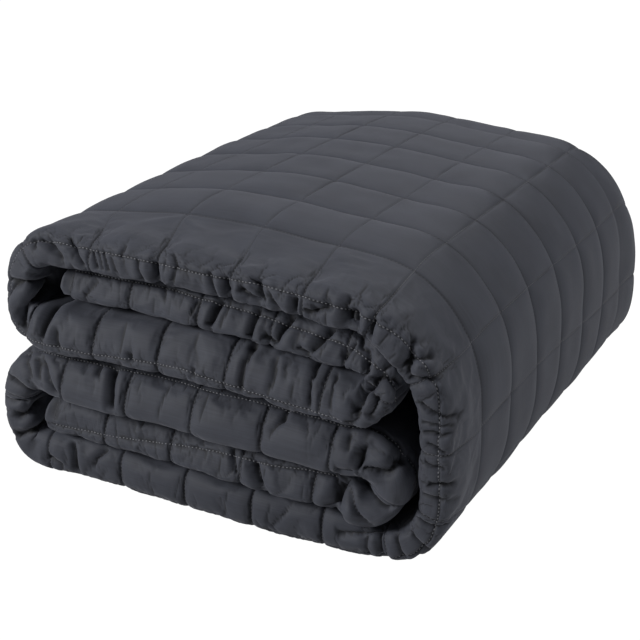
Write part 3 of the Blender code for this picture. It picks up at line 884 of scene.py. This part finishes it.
# %% Make the mesh, with a map in millimetres of cloth
def vertex_numbers():
    """The mesh's vertex for each grid point: the rows close up, and so do the pinched ends."""
    index = np.full((2 * side_rows, columns + 1), -1)
    count = 0
    places = []
    for row in range(2 * side_rows):
        for column in range(columns + 1):
            if not used[row, column]:
                continue
            if column in (0, columns) and row > side_rows:
                index[row, column] = index[2 * side_rows - row, column]
                continue
            index[row, column] = count
            places.append((row, column))
            count += 1
    return index, places


def cloth_mesh(points):
    index, places = vertex_numbers()
    rows, cols = np.array(places).T
    corners, loops = [], []
    for face in grid_faces:
        ring_face = [index[row % (2 * side_rows), column] for row, column in face]
        keep = [k for k in range(len(face)) if ring_face[k] != ring_face[k - 1]]
        if len(keep) > 2:
            corners.append([int(ring_face[k]) for k in keep])
            loops.extend(face[k] for k in keep)
    mesh = bpy.data.meshes.new("quilted_blanket")
    mesh.from_pydata(points[rows, cols].tolist(), [], corners)
    loop_rows, loop_columns = np.array(loops).T
    flat = np.stack([along_mm[loop_rows, loop_columns], rim_mm[loop_rows, loop_columns]], axis=1)
    layer = mesh.uv_layers.new(name="cloth_mm")
    layer.data.foreach_set("uv", flat.astype(np.float32).ravel())
    shade = mesh.attributes.new("hollow", "FLOAT", "POINT")
    shade.data.foreach_set("value", hollow[rows, cols].astype(np.float32))
    mesh.shade_smooth()
    return mesh


mesh = cloth_mesh(cloth)
blanket = bpy.data.objects.new("quilted_blanket", mesh)
bpy.context.scene.collection.objects.link(blanket)
check = bmesh.new()
check.from_mesh(mesh)
volume = check.calc_volume(signed=True)
open_edges = sum(1 for edge in check.edges if not edge.is_manifold)
triangles = sum(len(face.verts) - 2 for face in check.faces)
check.free()
print(f"{triangles} triangles, {volume * 1000:.2f} litres, {open_edges} open edges")

# %% [markdown]
# ## The cloth's material
#
# The cover is a brushed polyester microfibre in charcoal, woven so finely that the eye sees only
# a soft, matt surface with faint streaks along the threads, and a pale bloom where light grazes
# it. The bloom is sheen. The weave is drawn from two waves of threads, a little coarser than
# the real ones so that they show. Its map is in millimetres of cloth, so it follows every fold.
# Creases and seams get painted shade: the colour is darkened there.

# %% Colours and one helper for nodes
def to_linear(hex_colour):
    """An sRGB hex colour as a linear RGBA tuple."""
    channels = [int(hex_colour[i:i + 2], 16) / 255.0 for i in (1, 3, 5)]
    linear = [c / 12.92 if c <= 0.04045 else ((c + 0.055) / 1.055) ** 2.4 for c in channels]
    return (*linear, 1.0)


def add_node(tree, kind, settings=None, links=None):
    """Add a node, set its sockets and properties, and link its inputs."""
    node = tree.nodes.new(kind)
    for name, value in (settings or {}).items():
        if isinstance(name, int) or name in node.inputs:
            node.inputs[name].default_value = value
        else:
            setattr(node, name, value)
    for name, source in (links or {}).items():
        tree.links.new(source, node.inputs[name])
    return node


# %% Charcoal microfibre
THREAD_PITCH_MM = 0.55      # really about 0.25 mm: drawn coarser, so that it shows
WAVE_SCALE = 2.0 * math.pi / 20.0       # gives a Wave Texture one band for each unit
PATCH_MM = 22.0             # cloudy patches, where the pile lies differently
STREAK_LENGTH_MM = 30.0
STREAK_WIDTH_MM = 0.8
PAINTED_SHADE_TONE = 0.18          # painted shade: what is left of the colour at the bottom of a tight crease


def microfibre():
    material = bpy.data.materials.new("charcoal_brushed_microfibre")
    material.use_nodes = True
    tree = material.node_tree
    shader = tree.nodes["Principled BSDF"]
    place = add_node(tree, "ShaderNodeUVMap", {"uv_map": "cloth_mm"}).outputs["UV"]
    along = add_node(tree, "ShaderNodeMapping", {"Scale": (1 / STREAK_LENGTH_MM, 1 / STREAK_WIDTH_MM, 1)},
                     {"Vector": place}).outputs["Vector"]
    streaks = add_node(tree, "ShaderNodeTexNoise", {"Scale": 1.0, "Detail": 3.0}, {"Vector": along})
    clouds = add_node(tree, "ShaderNodeTexNoise", {"Scale": 1 / PATCH_MM, "Detail": 4.0}, {"Vector": place})
    mixed = add_node(tree, "ShaderNodeMath", {"operation": "ADD"},
                     {0: streaks.outputs["Fac"], 1: clouds.outputs["Fac"]})
    tone = add_node(tree, "ShaderNodeMapRange", {"From Min": 0.6, "From Max": 1.4},
                    {"Value": mixed.outputs["Value"]})
    ramp = add_node(tree, "ShaderNodeValToRGB", {}, {"Fac": tone.outputs["Result"]})
    ramp.color_ramp.elements[0].color = to_linear("#3a3c44")
    ramp.color_ramp.elements[1].color = to_linear("#484b55")
    # Painted shade: the base colour is darkened in creases and seams, by how hollow the mesh is there.
    painted_shade_amount = add_node(tree, "ShaderNodeAttribute", {"attribute_name": "hollow"}).outputs["Fac"]
    painted_shade_factor = add_node(tree, "ShaderNodeMapRange", {"To Min": 1.0, "To Max": PAINTED_SHADE_TONE},
                          {"Value": painted_shade_amount})
    painted_shade_colour = add_node(tree, "ShaderNodeVectorMath", {"operation": "SCALE"},
                      {0: ramp.outputs["Color"], "Scale": painted_shade_factor.outputs["Result"]})
    tree.links.new(painted_shade_colour.outputs["Vector"], shader.inputs["Base Color"])
    shader.inputs["Roughness"].default_value = 0.65
    shader.inputs["Specular IOR Level"].default_value = 0.35
    shader.inputs["Sheen Weight"].default_value = 0.25
    shader.inputs["Sheen Roughness"].default_value = 0.5
    shader.inputs["Sheen Tint"].default_value = to_linear("#c9cbd6")
    threads = [
        add_node(tree, "ShaderNodeTexWave", {
            "wave_type": "BANDS", "bands_direction": direction,
            "Scale": WAVE_SCALE / THREAD_PITCH_MM, "Distortion": 1.5, "Detail": 1.0,
        }, {"Vector": place}).outputs["Fac"]
        for direction in ("X", "Y")
    ]
    weave = add_node(tree, "ShaderNodeMath", {"operation": "MAXIMUM"}, {0: threads[0], 1: threads[1]})
    height = add_node(tree, "ShaderNodeMath", {"operation": "MULTIPLY_ADD", 1: 1.2},
                      {0: streaks.outputs["Fac"], 2: weave.outputs["Value"]})
    bump = add_node(tree, "ShaderNodeBump", {"Strength": 0.25, "Distance": 0.00012},
                    {"Height": height.outputs["Value"]})
    tree.links.new(bump.outputs["Normal"], shader.inputs["Normal"])
    return material


cloth_material = microfibre()
blanket.data.materials.append(cloth_material)
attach(blanket, "root")
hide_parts("weighted_blanket")

# %% [markdown]
# ## Stitches
#
# Every seam is sewn with small stitches that show as a dotted line. First we collect the paths
# of the threads on the finished cloth: the top-stitched hem, the seams across the strip and the
# seams along it. Geometry Nodes then walks each path in equal steps and lays one small stitch at
# every step, turned along the seam and flat on the cloth. Its inputs are named, so spacing and
# thickness can be changed by hand. At the end the stitches are made a plain mesh.

# %% Thread paths
THREAD_ABOVE = 0.10 * MM        # how far a thread's middle lies above the cloth
SEAMS_SHOW_INSIDE = -42 * MM    # how far round the front rim the seams are sewn
FROM_BACK = 3 * MM              # from the back edge to the first stitch
IN_FINE_CELLS = 4 * MM          # a thread ends this far inside the finely drawn cloth
OFF_THE_HEM = 1.5 * MM          # from the hem's thread to the seams that meet it
CORNER_SEAMS = (16, 19)         # sewn in a lighter thread, as shown

all_rows = np.arange(2 * side_rows + 1)


def on_cloth(rows, cols):
    """Points a hair above the finished cloth, and its normals, at fractional rows and columns."""
    rows, cols = np.mod(rows, 2 * side_rows), np.clip(cols, 0, columns - 1e-6)
    r0, c0 = np.floor(rows).astype(int), np.floor(cols).astype(int)
    r1, fr, fc = (r0 + 1) % (2 * side_rows), (rows - r0)[:, None], (cols - c0)[:, None]
    points, normal = (
        (grid[r0, c0] * (1 - fc) + grid[r0, c0 + 1] * fc) * (1 - fr)
        + (grid[r1, c0] * (1 - fc) + grid[r1, c0 + 1] * fc) * fr for grid in (cloth, skin))
    return points + normal * THREAD_ABOVE, normal


def row_at(distance, column):
    """The fractional row at a distance from the front rim."""
    return np.interp(-distance, -from_rim[:, column], all_rows)


def column_of(number):
    return np.interp(number, numbers, np.arange(columns + 1))


def hem_thread(first, last):
    cols = np.arange(int(column_of(first)), int(column_of(last)) + 1)
    return on_cloth(np.array([row_at(hem[c], c) for c in cols]), cols.astype(float))


def across_thread(number, start, stop):
    """A seam from front to back, between two distances from the front rim."""
    column = column_of(number)
    near = int(round(column))
    rows = np.arange(row_at(start, near), row_at(stop, near), 0.5)
    return on_cloth(rows, np.full(len(rows), column))


def along_thread(seam, first, last):
    """A cross seam, which runs along the strip on its outer face."""
    row = side_rows - EDGE_CELLS - BEHIND_EDGE_CELLS - seam * CELLS_DEEP
    cols = np.arange(column_of(first), column_of(last), 0.5)
    return on_cloth(np.full(len(cols), float(row)), cols)


FIRST_END, LAST_END = midline.number_at(np.array([END_HEM, midline.length - END_HEM]))
UNDER_THE_TUCK = (32.5, 32.78)  # where the lower right fold tucks its own hem out of sight
hem_paths = [hem_thread(FIRST_END, UNDER_THE_TUCK[0]), hem_thread(UNDER_THE_TUCK[1], LAST_END)]
seam_paths, corner_paths = [], []
for number in range(SQUARES_ALONG + 1):
    if not FIRST_END + 0.05 < number < LAST_END - 0.05:
        continue
    edge_of_hem = hem[int(round(column_of(number)))]
    outside = from_rim[0].min() - FROM_BACK if faces_out(number) else FINE_FROM_RIM - IN_FINE_CELLS
    paths = corner_paths if CORNER_SEAMS[0] <= number <= CORNER_SEAMS[1] else seam_paths
    paths.append(across_thread(number, outside, edge_of_hem + OFF_THE_HEM))
    seam_paths.append(across_thread(number, edge_of_hem - OFF_THE_HEM, SEAMS_SHOW_INSIDE))
for number in (FIRST_END, LAST_END):
    seam_paths.append(across_thread(number, FINE_FROM_RIM - IN_FINE_CELLS, SEAMS_SHOW_INSIDE))
for seam in range(CROSS_SEAMS):
    for first, last in FINE_NUMBERS:
        seam_paths.append(along_thread(seam, first + 0.2, last - 0.2))
print(f"{len(hem_paths)} hem threads, {len(seam_paths) + len(corner_paths)} seam threads")

# %% A node tree that sews
SEWING_INPUTS = (
    ("Stitch spacing", "NodeSocketFloat", 2.35 * MM), ("Stitch length", "NodeSocketFloat", 1.7 * MM),
    ("Thread thickness", "NodeSocketFloat", 0.45 * MM), ("Seed", "NodeSocketInt", 3),
    ("Thread", "NodeSocketMaterial", None),
)


def sewing_tree():
    tree = bpy.data.node_groups.new("sew_along_path", "GeometryNodeTree")
    tree.interface.new_socket("Path", in_out="INPUT", socket_type="NodeSocketGeometry")
    for name, kind, value in SEWING_INPUTS:
        socket = tree.interface.new_socket(name, in_out="INPUT", socket_type=kind)
        if value is not None:
            socket.default_value = value
    tree.interface.new_socket("Stitches", in_out="OUTPUT", socket_type="NodeSocketGeometry")
    given = add_node(tree, "NodeGroupInput").outputs
    curve = add_node(tree, "GeometryNodeMeshToCurve", {}, {"Mesh": given["Path"]})
    steps = add_node(tree, "GeometryNodeResampleCurve", {"mode": "LENGTH"},
                     {"Curve": curve.outputs["Curve"], "Length": given["Stitch spacing"]})
    tangent = add_node(tree, "GeometryNodeInputTangent").outputs["Tangent"]
    normal = add_node(tree, "GeometryNodeInputNamedAttribute",
                      {"data_type": "FLOAT_VECTOR", "Name": "cloth_normal"}).outputs["Attribute"]
    turned = add_node(tree, "FunctionNodeAlignRotationToVector", {"axis": "X"}, {"Vector": tangent})
    flat = add_node(tree, "FunctionNodeAlignRotationToVector", {"axis": "Z", "pivot_axis": "X"},
                    {"Rotation": turned.outputs["Rotation"], "Vector": normal})
    slant = add_node(tree, "FunctionNodeRandomValue", {"data_type": "FLOAT", "Min": -0.09, "Max": 0.09},
                     {"Seed": given["Seed"]})
    spin = add_node(tree, "ShaderNodeCombineXYZ", {}, {"Z": slant.outputs[1]})
    rotation = add_node(tree, "FunctionNodeRotateRotation", {"rotation_space": "LOCAL"},
                        {"Rotation": flat.outputs["Rotation"], "Rotate By": spin.outputs["Vector"]})
    thickness = given["Thread thickness"]
    size = add_node(tree, "ShaderNodeCombineXYZ", {},
                    {"X": given["Stitch length"], "Y": thickness, "Z": thickness})
    stitch = add_node(tree, "GeometryNodeMeshIcoSphere", {"Radius": 0.5, "Subdivisions": 1})
    laid = add_node(tree, "GeometryNodeInstanceOnPoints", {},
                    {"Points": steps.outputs["Curve"], "Instance": stitch.outputs["Mesh"],
                     "Rotation": rotation.outputs["Rotation"], "Scale": size.outputs["Vector"]})
    real = add_node(tree, "GeometryNodeRealizeInstances", {}, {"Geometry": laid.outputs["Instances"]})
    dressed = add_node(tree, "GeometryNodeSetMaterial", {},
                       {"Geometry": real.outputs["Geometry"], "Material": given["Thread"]})
    add_node(tree, "NodeGroupOutput", {}, {"Stitches": dressed.outputs["Geometry"]})
    return tree


def path_mesh(name, paths):
    """The threads' paths as loose edges, with the cloth's normal at each point."""
    points = np.concatenate([path for path, normal in paths])
    normal = np.concatenate([normal for path, normal in paths])
    edges, start = [], 0
    for path, _ in paths:
        edges.extend((start + step, start + step + 1) for step in range(len(path) - 1))
        start += len(path)
    mesh = bpy.data.meshes.new(name)
    mesh.from_pydata(points.tolist(), edges, [])
    layer = mesh.attributes.new("cloth_normal", "FLOAT_VECTOR", "POINT")
    layer.data.foreach_set("vector", normal.astype(np.float32).ravel())
    return mesh


def sew(name, paths, thread, **settings):
    """Lay stitches along the paths, and keep them as a plain mesh that rides on the blanket."""
    line = bpy.data.objects.new(name, path_mesh(name + "_path", paths))
    bpy.context.scene.collection.objects.link(line)
    modifier = line.modifiers.new("sewing", "NODES")
    modifier.node_group = sewing
    sockets = {item.name: item.identifier for item in sewing.interface.items_tree
               if item.in_out == "INPUT"}
    for socket_name, kind, value in SEWING_INPUTS:
        chosen = settings.get(socket_name.replace(" ", "_"), value)
        modifier[sockets[socket_name]] = thread if socket_name == "Thread" else chosen
    finished = line.evaluated_get(bpy.context.evaluated_depsgraph_get())
    stitches = bpy.data.meshes.new_from_object(finished)
    line.modifiers.remove(modifier)
    line.data = stitches
    stitches.name = name
    stitches.shade_smooth()
    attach(line, "root")
    print(f"{name}: {len(stitches.polygons)} faces")
    return line


# %% Threads
def thread_material(name, hex_colour):
    """Spun polyester thread: matt, with a little sheen from its fibres."""
    material = bpy.data.materials.new(name)
    material.use_nodes = True
    shader = material.node_tree.nodes["Principled BSDF"]
    shader.inputs["Base Color"].default_value = to_linear(hex_colour)
    shader.inputs["Roughness"].default_value = 0.7
    shader.inputs["Sheen Weight"].default_value = 0.2
    return material


sewing = sewing_tree()
sew("hem_stitches", hem_paths, thread_material("pale_grey_polyester_thread", "#86878d"),
    Stitch_spacing=2.45 * MM, Stitch_length=1.5 * MM, Thread_thickness=0.75 * MM)
sew("corner_seam_stitches", corner_paths, thread_material("grey_polyester_thread", "#76777c"))
sew("quilting_stitches", seam_paths, thread_material("charcoal_polyester_thread", "#595a61"))

# %% [markdown]
# ## Floor, light and camera
#
# A plain pale floor and large soft lights, as for a product photograph, which is exposed so that
# the paper is burnt out and hardly shows a shadow: the camera sees mostly a glow there, while
# the light that the paper throws back on the cloth stays real. The camera stands where
# the photograph's camera stood: to the right of the long edge and a little above it.

# %% Floor
FLOOR_SIZE = 8.0
floor_mesh = bpy.data.meshes.new("floor")
half_floor = 0.5 * FLOOR_SIZE
floor_mesh.from_pydata([(-half_floor, -half_floor, 0), (half_floor, -half_floor, 0),
                        (half_floor, half_floor, 0), (-half_floor, half_floor, 0)], [], [(0, 1, 2, 3)])
floor = bpy.data.objects.new("floor", floor_mesh)
bpy.context.scene.collection.objects.link(floor)
floor.location.z = -0.0004
PAPER_GLOW = 0.88           # how far the paper's shadows are washed out in the picture
paper = bpy.data.materials.new("white_paper_floor")
paper.use_nodes = True
paper_shader = paper.node_tree.nodes["Principled BSDF"]
paper_shader.inputs["Base Color"].default_value = to_linear("#d8d8d8")
paper_shader.inputs["Roughness"].default_value = 0.9
paper_seen = add_node(paper.node_tree, "ShaderNodeLightPath").outputs["Is Camera Ray"]
glow_share = add_node(paper.node_tree, "ShaderNodeMath", {"operation": "MULTIPLY", 1: PAPER_GLOW},
                      {0: paper_seen})
glow = add_node(paper.node_tree, "ShaderNodeEmission", {"Strength": 1.15})
washed = add_node(paper.node_tree, "ShaderNodeMixShader", {},
                  {0: glow_share.outputs["Value"], 1: paper_shader.outputs["BSDF"],
                   2: glow.outputs["Emission"]})
paper_surface = paper.node_tree.nodes["Material Output"].inputs["Surface"]
paper.node_tree.links.new(washed.outputs["Shader"], paper_surface)
floor_mesh.materials.append(paper)

# %% Lights
Lamp = namedtuple("Lamp", "name place size power")

LAMPS = (
    Lamp("overhead softbox", (0.2, 1.0, 2.2), 2.2, 20),
    Lamp("front left softbox", (-1.7, -1.8, 1.3), 0.8, 45),
    Lamp("right softbox", (2.1, 0.3, 1.8), 1.6, 18),
)

for lamp in LAMPS:
    light = bpy.data.lights.new(lamp.name.replace(" ", "_"), "AREA")
    light.size = lamp.size
    light.energy = lamp.power
    holder = bpy.data.objects.new(light.name, light)
    holder.location = lamp.place
    aim = Vector((0.0, 0.0, 0.08)) - holder.location
    holder.rotation_euler = aim.to_track_quat("-Z", "Y").to_euler()
    bpy.context.scene.collection.objects.link(holder)

AMBIENT = 0.06              # light from all round; the camera sees the backdrop itself as white
world = bpy.data.worlds.new("studio")
world.use_nodes = True
backdrop = world.node_tree.nodes["Background"]
backdrop.inputs["Color"].default_value = (1.0, 1.0, 1.0, 1.0)
seen = add_node(world.node_tree, "ShaderNodeLightPath").outputs["Is Camera Ray"]
strength = add_node(world.node_tree, "ShaderNodeMapRange", {"To Min": AMBIENT, "To Max": 1.0},
                    {"Value": seen})
world.node_tree.links.new(strength.outputs["Result"], backdrop.inputs["Strength"])
bpy.context.scene.world = world
bpy.context.scene.view_settings.view_transform = "Standard"

# %% Camera
CAMERA_AZIMUTH = 28.04      # degrees to the right of straight on
CAMERA_ELEVATION = 23.32
CAMERA_ROLL = 0.57
CAMERA_PLACE = (0.3999, -0.7867, 0.4469)
LENS_MM = 76.22             # on a 36 mm frame

azimuth, elevation, roll = (math.radians(angle) for angle in
                            (CAMERA_AZIMUTH, CAMERA_ELEVATION, CAMERA_ROLL))
forward = Vector((-math.sin(azimuth) * math.cos(elevation), math.cos(azimuth) * math.cos(elevation),
                  -math.sin(elevation)))
level = Vector((math.cos(azimuth), math.sin(azimuth), 0.0))
upright = level.cross(forward)
right = level * math.cos(roll) + upright * math.sin(roll)
up = upright * math.cos(roll) - level * math.sin(roll)
camera = bpy.data.cameras.new("photo_camera")
camera.lens = LENS_MM
camera.sensor_width = 36.0
camera_holder = bpy.data.objects.new("photo_camera", camera)
turned = Matrix((right, up, -forward)).transposed().to_4x4()
camera_holder.matrix_world = Matrix.Translation(CAMERA_PLACE) @ turned
bpy.context.scene.collection.objects.link(camera_holder)
bpy.context.scene.camera = camera_holder
